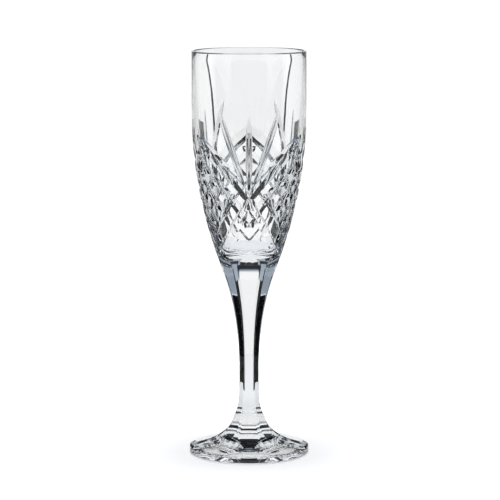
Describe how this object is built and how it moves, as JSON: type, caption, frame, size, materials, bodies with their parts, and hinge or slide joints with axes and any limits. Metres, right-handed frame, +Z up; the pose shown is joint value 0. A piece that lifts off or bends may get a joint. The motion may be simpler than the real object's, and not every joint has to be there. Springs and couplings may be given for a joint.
{
  "type": "champagne flute",
  "caption": "Tall stemmed glass for sparkling wine, with a deep cut-patterned bowl, a slim faceted stem and a round panelled foot.",
  "frame": {"origin": "centre of the foot's resting ring, on the table plane", "axes": "+Z up along the glass's axis, from the foot to the rim; -Y is the front, where a fan of cuts faces the viewer"},
  "size_m": [0.0624, 0.0624, 0.21],
  "materials": {
    "crystal": "clear colourless crystal, fire polished"
  },
  "bodies": {
    "root": {"bowl": "crystal", "stem": "crystal", "foot": "crystal"}
  },
  "joints": []
}
